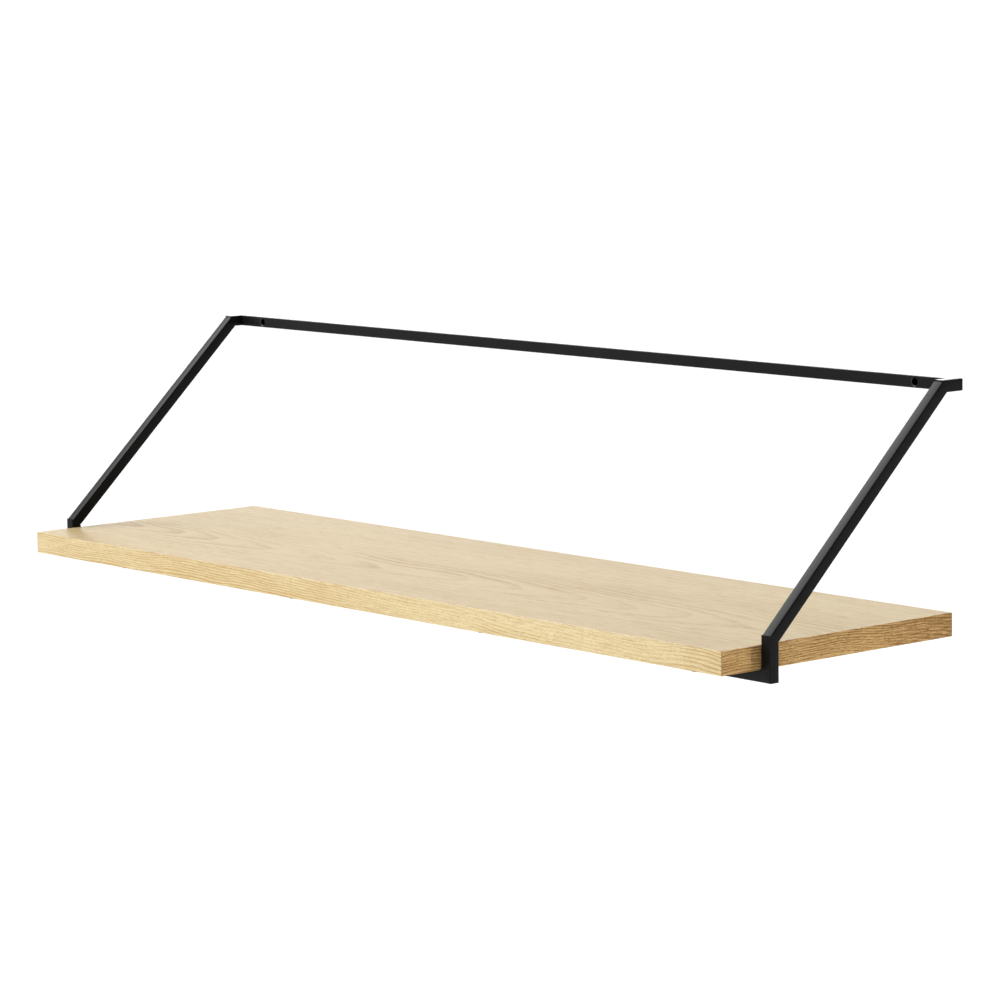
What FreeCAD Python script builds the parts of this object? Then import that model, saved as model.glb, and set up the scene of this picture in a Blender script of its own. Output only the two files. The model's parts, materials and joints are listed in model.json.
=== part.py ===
import FreeCAD, Part
import os

from FreeCAD import Placement, Rotation, Vector

# Wall shelf: a veneered board carried by one closed loop of square steel tube.
# Millimetres, +Z up. The wall is the plane y = 0 and the shelf stands out of it towards -Y.
# The origin is on the wall, midway between the two screw holes of the rail.

# Board: a particle core, veneered on both faces, with thicker bands glued round its edges
board_length = 1200.0
board_depth = 330.0
board_thickness = 25.0
veneer = 0.6
edge_band = 1.0
arris = 0.5

# Frame: square tube, mitred and welded into a closed loop
tube_side = 12.7
tube_wall = 1.5
tube_corner = 1.2
end_gap = 1.0  # between an end of the board and the drop beside it
rail_height = 237.5  # the rail's centre line above the board's top
bend_from_wall = 25.0  # where the centre line turns from the short return into the arm
bend_above_board = 5.6  # where the centre line turns from the arm into the drop
bar_setback = 59.0  # the board's front face to the cross bar's centre line

# Holes for the wall screws in the rail: the head sits in a countersink cut right through the
# front wall, and the back wall guides the shank
wall_hole_inset = 55.7  # from the outer end of the rail
wall_hole = 4.5
countersink = 10.2  # across its rim, cut at 90 degrees

# Screws that go up through the cross bar into the board
bar_screws = 4
bar_screw_inset = 100.0  # the outermost screws, from the ends of the board
bar_screw = 4.0
bar_screw_head = 8.0
bar_screw_head_height = 2.4
bar_screw_bite = 16.0  # how far a screw reaches into the board
screw_clearance = 0.2  # round a screw's shank, on the radius

# Angle brackets that hold the board's back edge to the wall from underneath
bracket_inset = 220.0  # the bracket's middle, from the end of the board
bracket_width = 40.0
bracket_plate = 2.0
bracket_leg = 28.0
bracket_bend = 2.0  # inner radius
bracket_corner = 4.0  # rounded corners of both legs
bracket_wall_hole = 5.0
bracket_hole_drop = 18.0  # the wall hole, below the board's underside
bracket_screw = 3.5
bracket_screw_head = 7.0
bracket_screw_head_height = 2.1
bracket_screw_bite = 13.0
bracket_screw_spacing = 24.0
bracket_screw_from_wall = 18.0

# Places that follow from the sizes above
board_top = -rail_height
board_bottom = board_top - board_thickness
board_end = board_length / 2
side_centre = board_end + end_gap + tube_side / 2
rail_end = side_centre + tube_side / 2
bar_from_wall = board_depth - bar_setback
bar_centre_height = board_bottom - tube_side / 2

Y_AXIS = Vector(0, 1, 0)
Z_AXIS = Vector(0, 0, 1)


def box(low, high):
    """A box between two opposite corners."""
    size = [high[i] - low[i] for i in range(3)]
    return Part.makeBox(*size, Vector(*low))


def cylinder_along(axis, radius, start, length):
    return Part.makeCylinder(radius, length, Vector(*start), axis)


def board_pieces():
    """The board's core, veneers and edge bands, cut from one block with softened edges."""
    block = box((-board_end, -board_depth, board_bottom), (board_end, 0, board_top))
    block = block.makeFillet(arris, block.Edges)
    inner_end = board_end - edge_band
    inner_front = -board_depth + edge_band
    core_top = board_top - veneer
    core_bottom = board_bottom + veneer
    cells = {
        "board_core": ((-inner_end, inner_front, core_bottom), (inner_end, -edge_band, core_top)),
        "top_veneer": ((-inner_end, inner_front, core_top), (inner_end, -edge_band, board_top)),
        "bottom_veneer": (
            (-inner_end, inner_front, board_bottom),
            (inner_end, -edge_band, core_bottom),
        ),
        "front_edge_band": (
            (-board_end, -board_depth, board_bottom),
            (board_end, inner_front, board_top),
        ),
        "back_edge_band": ((-board_end, -edge_band, board_bottom), (board_end, 0, board_top)),
        "left_edge_band": (
            (-board_end, inner_front, board_bottom),
            (-inner_end, -edge_band, board_top),
        ),
        "right_edge_band": (
            (inner_end, inner_front, board_bottom),
            (board_end, -edge_band, board_top),
        ),
    }
    return {name: block.common(box(*corners)) for name, corners in cells.items()}


def rounded_square(side, corner):
    """A square face with round corners, centred on the origin and facing +Z."""
    half = side / 2
    flat = half - corner
    diagonal = flat + corner * 0.5**0.5
    edges = []
    for turn in range(4):
        rotation = Rotation(Z_AXIS, 90 * turn)
        points = [(half, -flat), (half, flat), (diagonal, diagonal), (flat, half)]
        low, high, middle, end = [rotation.multVec(Vector(x, y, 0)) for x, y in points]
        edges.append(Part.LineSegment(low, high).toShape())
        edges.append(Part.Arc(high, middle, end).toShape())
    return Part.Face(Part.Wire(edges))


def half_space(point, outward):
    """A block large enough to cut off everything beyond a plane near the end of a tube."""
    reach = 6 * tube_side
    block = Part.makeBox(reach, reach, reach, Vector(-reach / 2, -reach / 2, 0))
    block.Placement = Placement(point, Rotation(Z_AXIS, outward))
    return block


def mitred_tube(before, start, end, after):
    """A square tube from start to end, its ends cut on the mitres with the tubes beside it."""
    run = (end - start).normalize()
    into = (start - before).normalize()
    out = (after - end).normalize()
    length = start.distanceToPoint(end) + 2 * tube_side
    hollow = tube_side - 2 * tube_wall
    tube = rounded_square(tube_side, tube_corner).extrude(Z_AXIS * length)
    bore = Part.makeBox(hollow, hollow, length, Vector(-hollow / 2, -hollow / 2, 0))
    tube = tube.cut(bore)
    tube.Placement = Placement(start - run * tube_side, Rotation(Z_AXIS, run))
    tube = tube.cut(half_space(start, (into + run).negative()))
    return tube.cut(half_space(end, run + out))


def frame_pieces():
    """The eight tubes of the frame, from the corners of its closed centre line."""
    rail_back = -tube_side / 2
    side_line = [
        (rail_back, 0),
        (-bend_from_wall, 0),
        (-bar_from_wall, board_top + bend_above_board),
        (-bar_from_wall, bar_centre_height),
    ]
    loop = [Vector(side_centre, y, z) for y, z in side_line]
    loop += [Vector(-side_centre, y, z) for y, z in reversed(side_line)]
    names = ["right_return", "right_arm", "right_drop", "cross_bar"]
    names += ["left_drop", "left_arm", "left_return", "wall_rail"]
    tubes = {}
    for i, name in enumerate(names):
        around = [loop[(i + step) % len(loop)] for step in (-1, 0, 1, 2)]
        tubes[name] = mitred_tube(*around)
    return tubes


def wall_screw_holes():
    """Through holes at both ends of the rail, widened in its front wall for the screw's head."""
    holes = []
    for side in (-1, 1):
        x = side * (rail_end - wall_hole_inset)
        front = -tube_side
        holes.append(cylinder_along(Y_AXIS, wall_hole / 2, (x, front, 0), tube_side))
        rim = countersink / 2
        holes.append(Part.makeCone(rim, rim - tube_wall, tube_wall, Vector(x, front, 0), Y_AXIS))
    return holes


def wood_screw(x, y, seat, diameter, reach, head, head_height):
    """A pan-head wood screw pointing up, with its head seated against the height seat."""
    tip = diameter
    recess_width = head / 8
    recess_length = head / 2
    recess_depth = head_height / 2
    place = Vector(x, y, seat)
    shank = Part.makeCylinder(diameter / 2, reach - tip, place)
    point = Part.makeCone(diameter / 2, 0, tip, place + Z_AXIS * (reach - tip))
    underside = place - Z_AXIS * head_height
    pan = Part.makeCylinder(head / 2, head_height, underside)
    rim = [edge for edge in pan.Edges if edge.BoundBox.ZMax < seat - head_height / 2]
    pan = pan.makeFillet(head_height / 2, rim)
    for across, along in ((recess_length, recess_width), (recess_width, recess_length)):
        corner = underside - Vector(across / 2, along / 2, 0)
        pan = pan.cut(Part.makeBox(across, along, recess_depth, corner))
    return pan.fuse([shank, point]).removeSplitter()


def bar_screw_places():
    """X of each screw along the cross bar, evenly spaced."""
    first = -board_end + bar_screw_inset
    step = -2 * first / (bar_screws - 1)
    return [first + i * step for i in range(bar_screws)]


def cross_bar_screws():
    reach = tube_side + bar_screw_bite
    seat = board_bottom - tube_side
    sizes = (bar_screw, reach, bar_screw_head, bar_screw_head_height)
    return [wood_screw(x, -bar_from_wall, seat, *sizes) for x in bar_screw_places()]


def bar_screw_holes():
    radius = bar_screw / 2 + screw_clearance
    seat = board_bottom - tube_side
    starts = [(x, -bar_from_wall, seat) for x in bar_screw_places()]
    return [cylinder_along(Z_AXIS, radius, start, tube_side) for start in starts]


def bracket_screws():
    """Two short screws through each bracket into the underside of the board."""
    seat = board_bottom - bracket_plate
    reach = bracket_plate + bracket_screw_bite
    sizes = (bracket_screw, reach, bracket_screw_head, bracket_screw_head_height)
    screws = []
    for side in (-1, 1):
        for offset in (-bracket_screw_spacing / 2, bracket_screw_spacing / 2):
            x = side * (board_end - bracket_inset) + offset
            screws.append(wood_screw(x, -bracket_screw_from_wall, seat, *sizes))
    return screws


def rear_bracket(side):
    """A bent strip: one leg under the board, the other down the wall."""
    centre = side * (board_end - bracket_inset)
    low_x = centre - bracket_width / 2
    high_x = centre + bracket_width / 2
    low_z = board_bottom - bracket_leg
    outer = box((low_x, -bracket_leg, low_z), (high_x, 0, board_bottom))
    inner = box(
        (low_x, -bracket_leg, low_z),
        (high_x, -bracket_plate, board_bottom - bracket_plate),
    )
    outer = outer.makeFillet(bracket_bend + bracket_plate, edges_at(outer, 0, board_bottom))
    inner_corner = edges_at(inner, -bracket_plate, board_bottom - bracket_plate)
    bracket = outer.cut(inner.makeFillet(bracket_bend, inner_corner))
    tips = []
    for edge in bracket.Edges:
        bounds = edge.BoundBox
        across_plate = bounds.XLength < 0.001 and edge.Length < bracket_plate + 0.001
        at_tip = bounds.YMax < -bracket_leg + 0.001 or bounds.ZMax < low_z + 0.001
        if across_plate and at_tip:
            tips.append(edge)
    bracket = bracket.makeFillet(bracket_corner, tips)
    wall_start = (centre, -bracket_plate, board_bottom - bracket_hole_drop)
    cuts = [cylinder_along(Y_AXIS, bracket_wall_hole / 2, wall_start, bracket_plate)]
    for offset in (-bracket_screw_spacing / 2, bracket_screw_spacing / 2):
        start = (centre + offset, -bracket_screw_from_wall, board_bottom - bracket_plate)
        radius = bracket_screw / 2 + screw_clearance
        cuts.append(cylinder_along(Z_AXIS, radius, start, bracket_plate))
    return bracket.cut(cuts)


def edges_at(shape, y, z):
    """The shape's edges that run along X at one y and z."""
    found = []
    for edge in shape.Edges:
        ends = [vertex.Point for vertex in edge.Vertexes]
        if all(abs(end.y - y) < 0.001 and abs(end.z - z) < 0.001 for end in ends):
            found.append(edge)
    return found


def all_pieces():
    pieces = board_pieces()
    pieces.update(frame_pieces())
    bar_set = cross_bar_screws()
    bracket_set = bracket_screws()
    pieces["wall_rail"] = pieces["wall_rail"].cut(wall_screw_holes())
    pieces["cross_bar"] = pieces["cross_bar"].cut(bar_screw_holes())
    for name in ("board_core", "bottom_veneer"):
        pieces[name] = pieces[name].cut(bar_set + bracket_set)
    pieces["left_rear_bracket"] = rear_bracket(-1)
    pieces["right_rear_bracket"] = rear_bracket(1)
    pieces["cross_bar_screws"] = Part.makeCompound(bar_set)
    pieces["rear_bracket_screws"] = Part.makeCompound(bracket_set)
    return pieces


os.makedirs("parts", exist_ok=True)
for name, shape in all_pieces().items():
    shape.exportStep(f"parts/{name}.step")
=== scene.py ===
import json
import math

import bpy
from mathutils import Euler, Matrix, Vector


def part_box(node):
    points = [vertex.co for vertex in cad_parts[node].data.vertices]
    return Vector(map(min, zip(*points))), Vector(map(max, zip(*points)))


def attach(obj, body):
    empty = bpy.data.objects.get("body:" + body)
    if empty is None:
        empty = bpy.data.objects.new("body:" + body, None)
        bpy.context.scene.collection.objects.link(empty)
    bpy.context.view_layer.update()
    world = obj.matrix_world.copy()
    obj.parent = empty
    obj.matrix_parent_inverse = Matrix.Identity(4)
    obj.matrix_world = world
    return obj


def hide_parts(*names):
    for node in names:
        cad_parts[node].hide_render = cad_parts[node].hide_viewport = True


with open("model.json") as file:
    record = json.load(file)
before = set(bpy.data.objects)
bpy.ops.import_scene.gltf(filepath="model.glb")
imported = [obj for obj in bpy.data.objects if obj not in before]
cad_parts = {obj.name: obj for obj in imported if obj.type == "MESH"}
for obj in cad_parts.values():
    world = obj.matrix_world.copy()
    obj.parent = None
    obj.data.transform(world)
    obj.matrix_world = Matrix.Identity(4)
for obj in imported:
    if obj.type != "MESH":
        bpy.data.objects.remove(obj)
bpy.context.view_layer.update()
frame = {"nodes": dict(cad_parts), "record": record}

# ------------------------------------------------------------------------------------------
# Camera
# It stands in the room at the right, a little above the rail, and looks down at the shelf.
# A long lens keeps the board's edges nearly parallel.
camera_data = bpy.data.cameras.new("camera")
camera_data.sensor_width = 36.0
camera_data.lens = 135.17
camera_data.clip_end = 200.0
camera = bpy.data.objects.new("camera", camera_data)
camera.location = (3.2122, -2.8359, 0.3933)
turn_left, look_down, tilt = math.radians(49.581), math.radians(7.545), math.radians(-0.818)
camera.rotation_mode = "QUATERNION"
camera.rotation_quaternion = (
    Euler((math.radians(90) - look_down, 0, turn_left)).to_quaternion()
    @ Euler((0, 0, tilt)).to_quaternion()
)
bpy.context.scene.collection.objects.link(camera)
bpy.context.scene.camera = camera
bpy.context.scene.view_settings.view_transform = "Standard"


# ------------------------------------------------------------------------------------------
# Board core
# The middle of the board is raw particle board: wood chips pressed flat with glue. Veneers and
# bands close it in on all sides, and only the pilot holes of the screws open it, from below.
class Shade:
    """A value in a node tree. Arithmetic on it adds Math nodes, and node() adds any other."""

    def __init__(self, tree, socket=None):
        self.tree = tree
        self.socket = socket

    def node(self, kind, settings=(), inputs=(), output=0):
        made = self.tree.nodes.new(kind)
        for name, value in dict(settings).items():
            if name == "stops":
                elements = made.color_ramp.elements
                while len(elements) < len(value):
                    elements.new(0.5)
                for element, (position, colour) in zip(elements, value):
                    element.position = position
                    element.color = colour
            else:
                setattr(made, name, value)
        for name, value in dict(inputs).items():
            if isinstance(value, Shade):
                self.tree.links.new(value.socket, made.inputs[name])
            else:
                made.inputs[name].default_value = value
        return Shade(self.tree, made.outputs[output])

    def math(self, operation, *values):
        return self.node("ShaderNodeMath", {"operation": operation}, dict(enumerate(values)))

    def feed(self, shader, name):
        self.tree.links.new(self.socket, shader.inputs[name])

    def __add__(self, other):
        return self.math("ADD", self, other)

    def __sub__(self, other):
        return self.math("SUBTRACT", self, other)

    def __rsub__(self, other):
        return self.math("SUBTRACT", other, self)

    def __mul__(self, other):
        return self.math("MULTIPLY", self, other)

    def __truediv__(self, other):
        return self.math("DIVIDE", self, other)

    __radd__ = __add__
    __rmul__ = __mul__


def material(name, **values):
    """A Principled material, its shader node, and a Shade to start its expressions from."""
    made = bpy.data.materials.new(name)
    made.use_nodes = True
    shader = made.node_tree.nodes["Principled BSDF"]
    for socket, value in values.items():
        shader.inputs[socket.replace("_", " ")].default_value = value
    return made, shader, Shade(made.node_tree)


def axes(shade, order="XYZ"):
    """The piece's own coordinates in metres, in the order given."""
    place = shade.node("ShaderNodeTexCoord", output="Object")
    return [
        shade.node("ShaderNodeSeparateXYZ", inputs={"Vector": place}, output=axis)
        for axis in order
    ]


def point(shade, x, y, z):
    return shade.node("ShaderNodeCombineXYZ", inputs={"X": x, "Y": y, "Z": z})


def noise(shade, x, y, z, detail=2.0, roughness=0.5):
    """Smooth random values round 0.5, one swell or so for each unit of x, y and z."""
    inputs = {"Vector": point(shade, x, y, z), "Scale": 1.0, "Detail": detail}
    return shade.node("ShaderNodeTexNoise", inputs={**inputs, "Roughness": roughness})


def ramp(shade, value, *stops):
    """The value through a colour ramp. Each stop is a position and a grey or a colour."""
    full = [(p, (c, c, c, 1) if isinstance(c, (int, float)) else (*c, 1)) for p, c in stops]
    return shade.node("ShaderNodeValToRGB", {"stops": full}, {"Fac": value})


def bump(shade, height, strength, distance):
    """A Normal that follows the height, whose full swing is the distance in metres."""
    inputs = {"Strength": strength, "Distance": distance, "Height": height}
    return shade.node("ShaderNodeBump", inputs=inputs)


def particle_board(name):
    """Flat chips of pale and brown wood, a few millimetres long, with fine dust between."""
    made, shader, s = material(name, Roughness=0.85)
    x, y, z = axes(s)
    where = {"Vector": point(s, x * 150, y * 230, z * 900), "Scale": 1.0}
    chip = s.node("ShaderNodeTexVoronoi", inputs=where, output="Color")
    edge = s.node("ShaderNodeTexVoronoi", {"feature": "DISTANCE_TO_EDGE"}, where)
    dust = noise(s, x * 1400, y * 1400, z * 1400, 2)
    tone = chip * 0.75 + dust * 0.3
    ramp(s, tone, (0.1, (0.26, 0.16, 0.08)), (0.5, (0.46, 0.33, 0.19)),
         (0.95, (0.62, 0.49, 0.32))).feed(shader, "Base Color")
    bump(s, edge + dust * 0.3, 0.6, 0.0003).feed(shader, "Normal")
    return made


core_finish = particle_board("particle_board")
frame["nodes"]["board_core"].data.materials.clear()
frame["nodes"]["board_core"].data.materials.append(core_finish)


# ------------------------------------------------------------------------------------------
# Top and bottom veneers
# Crown-cut oak leaves, 0.6 mm thick, glued to both faces with the grain along the board, sanded
# and sealed with a clear matt lacquer. The heart of the log lies under the front third.
def mix(shade, factor, low, high):
    """The low colour where the factor is 0, and the high one where it is 1. Each colour is a
    Shade or three numbers. A Mix node's colours are its sockets 6 and 7, and its output 2."""
    colours = [tone if isinstance(tone, Shade) else (*tone, 1) for tone in (low, high)]
    wanted = {0: factor, 6: colours[0], 7: colours[1]}
    return shade.node("ShaderNodeMix", {"data_type": "RGBA"}, wanted, output=2)


def fade(shade, value, low, high):
    """0 below low, 1 above high, and smooth between."""
    inputs = {"Value": value, "From Min": low, "From Max": high}
    return shade.node("ShaderNodeMapRange", {"interpolation_type": "SMOOTHSTEP"}, inputs)


def oak(name, order, heart, depth, climb, ring, fleck, tones, figure, quiet, streaks, gloss,
        stain_and_painted_shade=0.0, cut_end=1.0):
    """Oak cut near the heart of the log. The order gives the axis along the grain, the one
    across it and the one through the leaf. Growth rings are shells round the heart, which
    lies at heart across the grain and depth below the cut, and sinks by climb per metre. The
    rings are about ring apart. figure is how strongly they show, and quiet how far from the
    heart they fade out; they are fainter on the low side of it. fleck is how long and how wide
    a fibre streak is, and streaks how strongly it shows. tones are the pale wood, the ring
    lines and the pores. The value after gloss is painted shade that darkens the wood towards
    the wall. cut_end is how far along the grain the leaf is cut off, and the end grain there
    is dark; the dark also reaches about a millimetre onto the face before the end, as painted
    shade along the corner's edge."""
    made, shader, s = material(name, Specular_IOR_Level=gloss)
    u, v, through = axes(s, order)
    leaf = through * 40
    # the rings
    drift = noise(s, u * 2.3, v * 5, leaf + 1, 2) - 0.5
    ripple = noise(s, u * 11, v * 32, leaf + 4, 3, 0.55) - 0.5
    side = v - heart + drift * 0.05 + ripple * 0.007
    under = depth + u * climb + drift * 0.012 + ripple * 0.002
    radius = s.math("SQRT", side * side + under * under)
    years = radius / ring + noise(s, radius * 55, 0, leaf + 8, 1) * 2.2
    year = s.math("FRACT", years)
    line = ramp(s, year, (0.0, 0.0), (0.35, 0.08), (0.72, 0.5), (0.93, 1.0), (1.0, 0.0))
    patch = fade(s, noise(s, u * 3.1, v * 19, leaf + 12, 2), 0.36, 0.60)
    near = 1 - fade(s, s.math("ABSOLUTE", side), quiet * 0.55, quiet)
    near = near * (fade(s, side, -0.045, 0.0) * 0.6 + 0.4)
    rings = line * (patch * 0.75 + 0.25) * (near * 0.85 + 0.15) * figure
    # the fibres and pores
    long, wide = fleck
    fibre = noise(s, u / long, v / wide, leaf + 18, 3, 0.6)
    fine = noise(s, u / long * 4, v / wide * 4, leaf + 24, 2, 0.6)
    pores = fade(s, noise(s, u / long * 7, v / wide * 5, leaf + 30, 1), 0.58, 0.70)
    pores = pores * (line * 0.6 + 0.4)
    cloud = noise(s, u * 1.7, v * 8, leaf + 36, 2) - 0.5
    tone = rings * 0.8 + (fibre - 0.5) * streaks + (fine - 0.5) * streaks * 0.8 + cloud * 0.5
    # Painted shade: the wood darkens towards the wall by the given amount.
    tone = tone + fade(s, u, -0.15, 0.0) * stain_and_painted_shade
    pale, tan, dark = tones
    colour = mix(s, fade(s, tone, -0.35, 0.95), pale, tan)
    # The band's end grain is dark; the same dark reaches about a millimetre onto the face before
    # the end, painted shade along the corner's edge.
    end_grain_and_painted_edge_shade = fade(s, s.math("ABSOLUTE", u), cut_end - 0.0012, cut_end - 0.0006)
    mix(s, pores * streaks * (1 - end_grain_and_painted_edge_shade) + end_grain_and_painted_edge_shade * 0.65, colour, dark).feed(shader, "Base Color")
    (0.27 + fibre * 0.10 + pores * 0.15).feed(shader, "Roughness")
    height = fine * 0.4 + fibre * 0.4 - pores * 0.8 - line * 0.15
    bump(s, height, 0.2, 0.0003).feed(shader, "Normal")
    return made


face_finish = oak(
    "oak_face", "XYZ", heart=-0.211, depth=0.090, climb=0.045, ring=0.0045,
    fleck=(0.14, 0.0030), figure=1.0, quiet=0.13, streaks=0.85, gloss=0.004,
    tones=((0.410, 0.323, 0.180), (0.298, 0.202, 0.089), (0.21, 0.13, 0.058)),
)
for side in ("top", "bottom"):
    leaf = frame["nodes"][side + "_veneer"]
    leaf.data.materials.clear()
    leaf.data.materials.append(face_finish)

# ------------------------------------------------------------------------------------------
# Long edge bands
# Millimetre-thick oak bands along the front and the back, glued on after the veneers, flush
# with them, and broken at the arrises with fine paper. The cut runs nearly along the rings.
board_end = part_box("front_edge_band")[1].x
long_band_finish = oak(
    "oak_long_band", "XZY", heart=-0.32, depth=0.03, climb=0.05, ring=0.0029,
    fleck=(0.030, 0.0016), figure=1.8, quiet=0.6, streaks=1.35, gloss=0.10, cut_end=board_end,
    tones=((0.476, 0.394, 0.236), (0.326, 0.223, 0.090), (0.20, 0.11, 0.035)),
)
for side in ("front", "back"):
    band = frame["nodes"][side + "_edge_band"]
    band.data.materials.clear()
    band.data.materials.append(long_band_finish)

# ------------------------------------------------------------------------------------------
# End bands
# The same bands across both ends, with the grain running from the wall to the room and fine
# dark pore lines two or three millimetres apart. Their tones are darker and browner than the
# long bands': painted shade, as if the ends always stood in shade, and they darken further
# towards the wall, which is painted shade too.
end_band_painted_shade_finish = oak(
    "oak_end_band", "YZX", heart=-0.29, depth=0.03, climb=0.06, ring=0.0026,
    # Painted shade: darker, browner tones than the long bands, and darker still towards the wall.
    fleck=(0.034, 0.0014), figure=1.7, quiet=0.6, streaks=2.6, gloss=0.08, stain_and_painted_shade=0.35,
    tones=((0.56, 0.36, 0.148), (0.215, 0.11, 0.031), (0.075, 0.032, 0.010)),
)
for side in ("left", "right"):
    band = frame["nodes"][side + "_edge_band"]
    band.data.materials.clear()
    band.data.materials.append(end_band_painted_shade_finish)

# ------------------------------------------------------------------------------------------
# Steel frame
# Eight lengths of half-inch square steel tube with rounded corners, cut on their mitres, welded
# into one closed loop and ground flush, then powder coated matt black. The rail and the cross
# bar are bored for their screws before the coat goes on.
tube_corner = 0.0012
tube_wall = 0.0015
bend_from_wall = 0.0250
bend_above_board = 0.0056


def powder_coat(name, base, roughness, specular):
    """Matt black powder coat: fine orange peel, and a film that is never quite even."""
    made, shader, s = material(name, Specular_IOR_Level=specular)
    x, y, z = axes(s)
    peel = noise(s, x * 620, y * 620, z * 620, 3, 0.6)
    film = noise(s, x * 20, y * 20, z * 20, 3, 0.6)
    low = [c * 0.7 for c in base]
    high = [c * 1.4 for c in base]
    ramp(s, film * 0.5 + peel * 0.5, (0.35, low), (0.65, high)).feed(shader, "Base Color")
    (roughness - 0.06 + peel * 0.06 + film * 0.06).feed(shader, "Roughness")
    bump(s, peel, 0.6, 0.00010).feed(shader, "Normal")
    return made


def pick(piece, kind, test):
    """In edit mode, selects the faces or the edges that pass the test, and nothing else."""
    bpy.ops.mesh.select_mode(type="FACE" if kind == "polygons" else "EDGE")
    bpy.ops.mesh.select_all(action="DESELECT")
    bpy.ops.object.mode_set(mode="OBJECT")
    for item in getattr(piece.data, kind):
        item.select = test(item)
    bpy.ops.object.mode_set(mode="EDIT")


def bore(piece, place, axis, radius, length, far_radius=None):
    """Drills a round hole of that length through the piece, from place along axis."""
    turn = Vector(axis).to_track_quat("Z", "Y").to_euler()
    middle = Vector(place) + Vector(axis) * length / 2
    bpy.ops.object.select_all(action="DESELECT")
    bpy.ops.mesh.primitive_cone_add(
        vertices=40, radius1=radius, radius2=far_radius or radius, depth=length,
        location=middle, rotation=turn,
    )
    drill = bpy.context.object
    cut = piece.modifiers.new("bore", "BOOLEAN")
    cut.object = drill
    cut.solver = "EXACT"
    bpy.context.view_layer.objects.active = piece
    bpy.ops.object.modifier_apply(modifier="bore")
    bpy.data.objects.remove(drill)


def settle(piece, angle):
    """Puts the piece's place into its mesh and shades its round parts smooth."""
    bpy.ops.object.select_all(action="DESELECT")
    piece.select_set(True)
    bpy.context.view_layer.objects.active = piece
    bpy.ops.object.transform_apply(location=True, rotation=True, scale=True)
    bpy.ops.object.shade_smooth_by_angle(angle=math.radians(angle))


def mitred_tube(name, before, start, end, after):
    """A length of tube, its ends cut on the planes it shares with the lengths beside it. Blender
    holds each part of plane_no to 1, so at both bends of an arm the plane leans 13 degrees off
    the mitre, and pick misses that end: arms stay solid, and returns and drops half open."""
    run = (end - start).normalized()
    cuts = [(start, -(start - before).normalized() - run), (end, run + (after - end).normalized())]
    turn = Vector((0, 0, 1)).rotation_difference(run).to_euler()
    bpy.ops.object.select_all(action="DESELECT")
    bpy.ops.mesh.primitive_plane_add(
        size=tube_side, location=start - run * tube_side, rotation=turn
    )
    piece = bpy.context.object
    piece.name = name
    bpy.ops.object.mode_set(mode="EDIT")
    bpy.ops.mesh.bevel(affect="VERTICES", offset=tube_corner, segments=6)
    reach = run * ((end - start).length + 2 * tube_side)
    bpy.ops.mesh.select_all(action="SELECT")
    bpy.ops.mesh.extrude_region_move(TRANSFORM_OT_translate={"value": reach})
    for place, outward in cuts:
        bpy.ops.mesh.select_all(action="SELECT")
        bpy.ops.mesh.bisect(plane_co=place, plane_no=outward, clear_outer=True, use_fill=True)
    to_world = piece.matrix_world.to_3x3()
    ends = [outward.normalized() for place, outward in cuts]
    pick(piece, "polygons", lambda face: max((to_world @ face.normal).dot(n) for n in ends) > 0.999)
    bpy.ops.mesh.inset(thickness=tube_wall)
    bpy.ops.mesh.bridge_edge_loops()
    bpy.ops.mesh.select_all(action="SELECT")
    bpy.ops.mesh.normals_make_consistent(inside=False)
    bpy.ops.object.mode_set(mode="OBJECT")
    return piece


rail_low, rail_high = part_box("wall_rail")
drop_low, drop_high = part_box("right_drop")
bar_low, bar_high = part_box("cross_bar")
board_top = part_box("top_veneer")[1].z
tube_side = rail_high.z - rail_low.z
rail_height = (rail_low.z + rail_high.z) / 2
side_line = [
    (rail_high.y - tube_side / 2, rail_height),
    (rail_high.y - bend_from_wall, rail_height),
    ((drop_low.y + drop_high.y) / 2, board_top + bend_above_board),
    ((drop_low.y + drop_high.y) / 2, (bar_low.z + bar_high.z) / 2),
]
side_centre = rail_high.x - tube_side / 2
loop = [Vector((side_centre, y, z)) for y, z in side_line]
loop += [Vector((-side_centre, y, z)) for y, z in reversed(side_line)]
lengths = ["right_return", "right_arm", "right_drop", "cross_bar"]
lengths += ["left_drop", "left_arm", "left_return", "wall_rail"]
tubes = {}
for i, name in enumerate(lengths):
    corners = [loop[(i + step) % len(loop)] for step in (-1, 0, 1, 2)]
    tubes[name] = mitred_tube("steel_" + name, *corners)

# The rail's holes for its wall screws: a countersink through the front wall takes the head, and
# the hole in the back wall guides the shank.
wall_hole_spacing = frame["record"]["mounts"][0]["dims"]["spacing_x_mm"] / 1000
wall_hole = frame["record"]["mounts"][0]["dims"]["hole_r_mm"] / 1000
countersink_rim = 0.0102 / 2
for side in (-1, 1):
    ahead = Vector((side * wall_hole_spacing / 2, rail_low.y - tube_wall, rail_height))
    bore(tubes["wall_rail"], ahead, (0, 1, 0), wall_hole, tube_side + 2 * tube_wall)
    bore(tubes["wall_rail"], ahead, (0, 1, 0), countersink_rim + tube_wall, 3 * tube_wall,
         countersink_rim - 2 * tube_wall)

# The cross bar's clearance holes, evenly spaced under the board.
bar_screw_count = 4
bar_screw_radius = 0.0020
screw_clearance = 0.0002
screws_low, screws_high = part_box("cross_bar_screws")
bar_head = screws_high.y - screws_low.y
first_screw = screws_low.x + bar_head / 2
screw_step = (screws_high.x - screws_low.x - bar_head) / (bar_screw_count - 1)
bar_screw_places = [
    Vector((first_screw + i * screw_step, (bar_low.y + bar_high.y) / 2, bar_low.z))
    for i in range(bar_screw_count)
]
for place in bar_screw_places:
    below = place - Vector((0, 0, tube_wall))
    radius = bar_screw_radius + screw_clearance
    bore(tubes["cross_bar"], below, (0, 0, 1), radius, tube_side + 2 * tube_wall)

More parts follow.
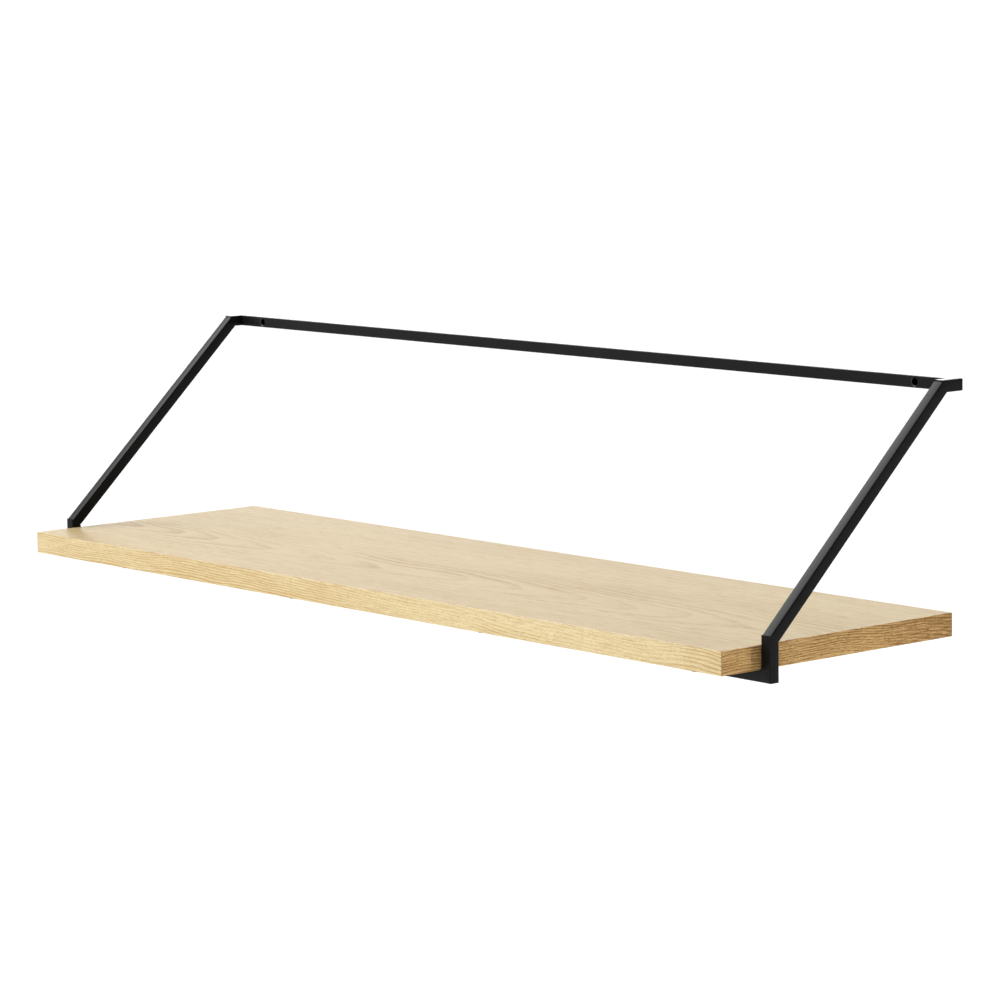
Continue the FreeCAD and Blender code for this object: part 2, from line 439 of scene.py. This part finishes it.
# A lighter and glossier copy of the coat for the countersink cones; its lighter colour is painted
# highlight.
countersink_highlight_finish = powder_coat("countersink_coat", (0.010, 0.010, 0.010), 0.32, 0.45)
frame_finish = powder_coat("frame_coat", (0.0048, 0.0046, 0.0046), 0.30, 0.085)
for name, piece in tubes.items():
    settle(piece, 35)
    piece.data.materials.append(frame_finish)
    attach(piece, "root")
    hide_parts(name)

# The countersink cones get a lighter, glossier copy of the coat, so that their rims catch a
# highlight: the lighter colour is painted highlight.
rail = tubes["wall_rail"]
rail.data.materials.append(countersink_highlight_finish)
for face in rail.data.polygons:
    sideways = abs(face.center.x) - wall_hole_spacing / 2
    near_hole = math.hypot(sideways, face.center.z - rail_height) < countersink_rim
    leans_at_45_degrees = 0.6 < -face.normal.y < 0.8
    if near_hole and leans_at_45_degrees:
        face.material_index = 1


# ------------------------------------------------------------------------------------------
# Cross bar screws
# Four black zinc pan-head wood screws that go up through the cross bar and bite into the core,
# so that the board can neither slide nor lift. Their heads show under the bar.
def wood_screw(name, seat, radius, reach, head, head_height):
    """A screw turned ring by ring from its head up to its point, then punched for the driver.
    outline holds the radius of each ring and its height over the head's flat end."""
    rim = head_height / 2
    rim_steps = 5
    outline = []
    for step in range(1, rim_steps + 1):
        angle = math.radians(90) * step / rim_steps
        outline.append((head - rim + rim * math.sin(angle), rim - rim * math.cos(angle)))
    outline += [(head, head_height), (radius, head_height)]
    outline += [(radius, head_height + reach - 2 * radius), (radius / 20, head_height + reach)]
    foot = seat - Vector((0, 0, head_height))
    bpy.ops.object.select_all(action="DESELECT")
    bpy.ops.mesh.primitive_circle_add(
        vertices=32, radius=head - rim, fill_type="NGON", location=foot
    )
    piece = bpy.context.object
    piece.name = name
    bpy.ops.object.mode_set(mode="EDIT")
    wide, high = head - rim, 0.0
    for next_wide, next_high in outline:
        bpy.ops.mesh.extrude_region_move(
            TRANSFORM_OT_translate={"value": (0, 0, next_high - high)}
        )
        share = next_wide / wide
        centre = foot + Vector((0, 0, next_high))
        bpy.ops.transform.resize(value=(share, share, 1), center_override=centre)
        wide, high = next_wide, next_high
    bpy.ops.mesh.select_all(action="SELECT")
    bpy.ops.mesh.remove_doubles(threshold=0.000001)
    bpy.ops.mesh.normals_make_consistent(inside=False)
    bpy.ops.object.mode_set(mode="OBJECT")
    for turn in (0, math.radians(90)):
        bpy.ops.object.select_all(action="DESELECT")
        bpy.ops.mesh.primitive_cube_add(size=head_height, location=foot, rotation=(0, 0, turn))
        punch = bpy.context.object
        slot_length, slot_width = head, head / 4
        punch.scale = (slot_length / head_height, slot_width / head_height, 1)
        bpy.ops.object.mode_set(mode="EDIT")
        pick(punch, "polygons", lambda face: face.normal.z > 0.9)
        tip = foot + Vector((0, 0, head_height / 2))
        bpy.ops.transform.resize(value=(0.45, 0.7, 1), center_override=tip)
        bpy.ops.object.mode_set(mode="OBJECT")
        cut = piece.modifiers.new("punch", "BOOLEAN")
        cut.object = punch
        cut.solver = "EXACT"
        bpy.context.view_layer.objects.active = piece
        bpy.ops.object.modifier_apply(modifier="punch")
        bpy.data.objects.remove(punch)
    settle(piece, 35)
    return piece


def zinc(name):
    """Black zinc plating, its tone and roughness varying at random with fine grit and broader
    blotches.
    """
    made, shader, s = material(name, Metallic=0.6)
    x, y, z = axes(s)
    grit = noise(s, x * 2500, y * 2500, z * 2500, 2)
    stain_and_painted_shade = noise(s, x * 300, y * 300, z * 300, 2)
    tone = grit * 0.4 + stain_and_painted_shade * 0.6
    ramp(s, tone, (0.35, (0.012, 0.012, 0.014)), (0.7, (0.05, 0.05, 0.054))).feed(
        shader, "Base Color"
    )
    (0.28 + grit * 0.2).feed(shader, "Roughness")
    bump(s, grit, 0.2, 0.00003).feed(shader, "Normal")
    return made


screw_finish = zinc("black_zinc")
head_height = bar_low.z - screws_low.z
bar_screw_reach = screws_high.z - bar_low.z
bar_screw = wood_screw(
    "cross_bar_screw_1", bar_screw_places[0], bar_screw_radius, bar_screw_reach,
    bar_head / 2, head_height,
)
bar_screw.data.materials.append(screw_finish)


def copies(first, places):
    """The first piece and a copy of it at each further place, each with its own mesh."""
    made = [first]
    for number, place in enumerate(places[1:], start=2):
        other = first.copy()
        other.data = first.data.copy()
        other.name = first.name[:-1] + str(number)
        bpy.context.scene.collection.objects.link(other)
        other.location = place - places[0]
        bpy.ops.object.select_all(action="DESELECT")
        other.select_set(True)
        bpy.context.view_layer.objects.active = other
        bpy.ops.object.transform_apply(location=True, rotation=False, scale=False)
        made.append(other)
    return made


for screw in copies(bar_screw, bar_screw_places):
    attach(screw, "root")
    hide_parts("cross_bar_screws")

# ------------------------------------------------------------------------------------------
# Rear brackets
# Two strips of 2 mm steel plate, folded square round a 2 mm radius, with rounded tips. One leg
# is screwed up under the board's back edge, and the other hangs down the wall.
plate = 0.0020
fold = 0.0020
tip_corner = 0.0040
plate_arris = 0.0003
wall_hole_drop = 0.0180
screw_gap = 0.0240
screw_from_wall = 0.0180
bracket_screw_radius = 0.00175
bracket_wall_hole = frame["record"]["mounts"][1]["dims"]["hole_r_mm"] / 1000


def angle_bracket(name, low, high):
    """A leg under the board, spun round the fold, then drawn down the wall."""
    middle = (low.x + high.x) / 2
    turned = fold + plate
    leg = high.y - turned - low.y
    centre = Vector((middle, low.y + leg / 2, high.z - plate / 2))
    bpy.ops.object.select_all(action="DESELECT")
    bpy.ops.mesh.primitive_cube_add(size=plate, location=centre)
    piece = bpy.context.object
    piece.name = name
    piece.scale = ((high.x - low.x) / plate, leg / plate, 1)
    bpy.ops.object.transform_apply(location=True, rotation=True, scale=True)
    bpy.ops.object.mode_set(mode="EDIT")
    pick(piece, "polygons", lambda face: face.normal.y > 0.9)
    pivot = (middle, high.y - turned, high.z - turned)
    bpy.ops.mesh.spin(steps=8, angle=math.radians(90), center=pivot, axis=(-1, 0, 0))
    bpy.ops.mesh.extrude_region_move(
        TRANSFORM_OT_translate={"value": (0, 0, low.z - (high.z - turned))}
    )
    bpy.ops.mesh.select_all(action="SELECT")
    bpy.ops.mesh.remove_doubles(threshold=0.000001)
    bpy.ops.mesh.normals_make_consistent(inside=False)

    def at_tip(edge):
        a, b = [piece.data.vertices[i].co for i in edge.vertices]
        beyond = max(a.y, b.y) < low.y + 0.00001 or max(a.z, b.z) < low.z + 0.00001
        return beyond and abs(a.x - b.x) < 0.00001

    pick(piece, "edges", at_tip)
    bpy.ops.mesh.bevel(offset=tip_corner, segments=6)
    bpy.ops.object.mode_set(mode="OBJECT")
    bore(piece, (middle, high.y - 2 * plate, high.z - wall_hole_drop), (0, 1, 0),
         bracket_wall_hole, 3 * plate)
    for offset in (-screw_gap / 2, screw_gap / 2):
        bore(piece, (middle + offset, high.y - screw_from_wall, high.z - 2 * plate), (0, 0, 1),
             bracket_screw_radius + screw_clearance, 3 * plate)
    soften = piece.modifiers.new("arris", "BEVEL")
    soften.width = plate_arris
    soften.segments = 2
    soften.angle_limit = math.radians(50)
    bpy.context.view_layer.objects.active = piece
    bpy.ops.object.modifier_apply(modifier="arris")
    settle(piece, 35)
    return piece


bracket_finish = powder_coat("bracket_coat", (0.006, 0.006, 0.0064), 0.46, 0.15)
for side in ("left", "right"):
    bracket = angle_bracket("steel_" + side + "_bracket", *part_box(side + "_rear_bracket"))
    bracket.data.materials.append(bracket_finish)
    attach(bracket, "root")
    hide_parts(side + "_rear_bracket")

# ------------------------------------------------------------------------------------------
# Bracket screws
# Two short pan-head screws in each bracket, of the same black zinc as the cross bar's. They stop
# well below the board's top face.
short_low, short_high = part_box("rear_bracket_screws")
board_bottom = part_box("bottom_veneer")[0].z
short_head = short_high.y - short_low.y
short_seat = board_bottom - plate
short_places = []
for side in ("left", "right"):
    low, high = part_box(side + "_rear_bracket")
    for offset in (-screw_gap / 2, screw_gap / 2):
        place = ((low.x + high.x) / 2 + offset, high.y - screw_from_wall, short_seat)
        short_places.append(Vector(place))
short_screw = wood_screw(
    "bracket_screw_1", short_places[0], bracket_screw_radius, short_high.z - short_seat,
    short_head / 2, short_seat - short_low.z,
)
short_screw.data.materials.append(screw_finish)
for screw in copies(short_screw, short_places):
    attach(screw, "root")
    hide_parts("rear_bracket_screws")

# ------------------------------------------------------------------------------------------
# Floor and light
# A plain white floor well below the shelf, a bright even studio round it, and three softboxes:
# one over the left for the slanted arms, one in front, and one behind the right end.
floor_height = -1.35
bpy.ops.object.select_all(action="DESELECT")
bpy.ops.mesh.primitive_circle_add(
    vertices=96, radius=150, fill_type="NGON", location=(0, 0, floor_height)
)
floor = bpy.context.object
floor.name = "floor"
floor_finish, floor_shader, floor_shade = material("floor_white", Roughness=0.9)
floor_shader.inputs["Base Color"].default_value = (0.93, 0.93, 0.93, 1)
floor_shader.inputs["Specular IOR Level"].default_value = 0.0
floor_shader.inputs["Emission Color"].default_value = (1, 1, 1, 1)
floor_shader.inputs["Emission Strength"].default_value = 0.1
floor.data.materials.append(floor_finish)

world = bpy.data.worlds.new("studio")
bpy.context.scene.world = world
world.use_nodes = True
sky = Shade(world.node_tree)
way = sky.node("ShaderNodeTexCoord", output="Generated")


def toward(direction):
    """How nearly the sky's point lies in that direction: 1 there, 0 square to it."""
    both = {0: way, 1: Vector(direction).normalized()}
    return sky.node("ShaderNodeVectorMath", {"operation": "DOT_PRODUCT"}, both, output="Value")


glow = fade(sky, toward((-0.74, 0.67, 0.09)), 0.90, 0.99) * 3.3
dim = fade(sky, toward((0.97, 0.1, 0.05)), 0.0, 0.80) * 1.1
seen = sky.node("ShaderNodeLightPath", output="Is Camera Ray")
level = (1.32 + glow - dim) * (1 - seen) + seen * 1.1
background = world.node_tree.nodes["Background"]
background.inputs["Color"].default_value = (1, 1, 1, 1)
level.feed(background, "Strength")


def softbox(name, place, aim, width, power, spread, seen_in_gloss):
    """A square lamp at place, turned to aim, whose light leaves it within the spread angle."""
    light = bpy.data.lights.new(name, "AREA")
    light.shape = "SQUARE"
    light.size = width
    light.energy = power
    light.spread = math.radians(spread)
    lamp = bpy.data.objects.new(name, light)
    lamp.location = place
    lamp.rotation_mode = "QUATERNION"
    lamp.rotation_quaternion = (Vector(aim) - Vector(place)).to_track_quat("-Z", "Y")
    lamp.visible_glossy = seen_in_gloss
    bpy.context.scene.collection.objects.link(lamp)


softbox("arm_light", (-3.0, -0.5, 3.1), (0, 0, -0.1), 2.2, 96, 180, True)
softbox("front_light", (-0.8, -4.2, 0.1), (0, 0, -0.2), 1.8, 27, 80, False)
softbox("right_light", (3.4, 2.6, 0.3), (0.6, -0.1, -0.25), 1.2, 16.5, 80, False)
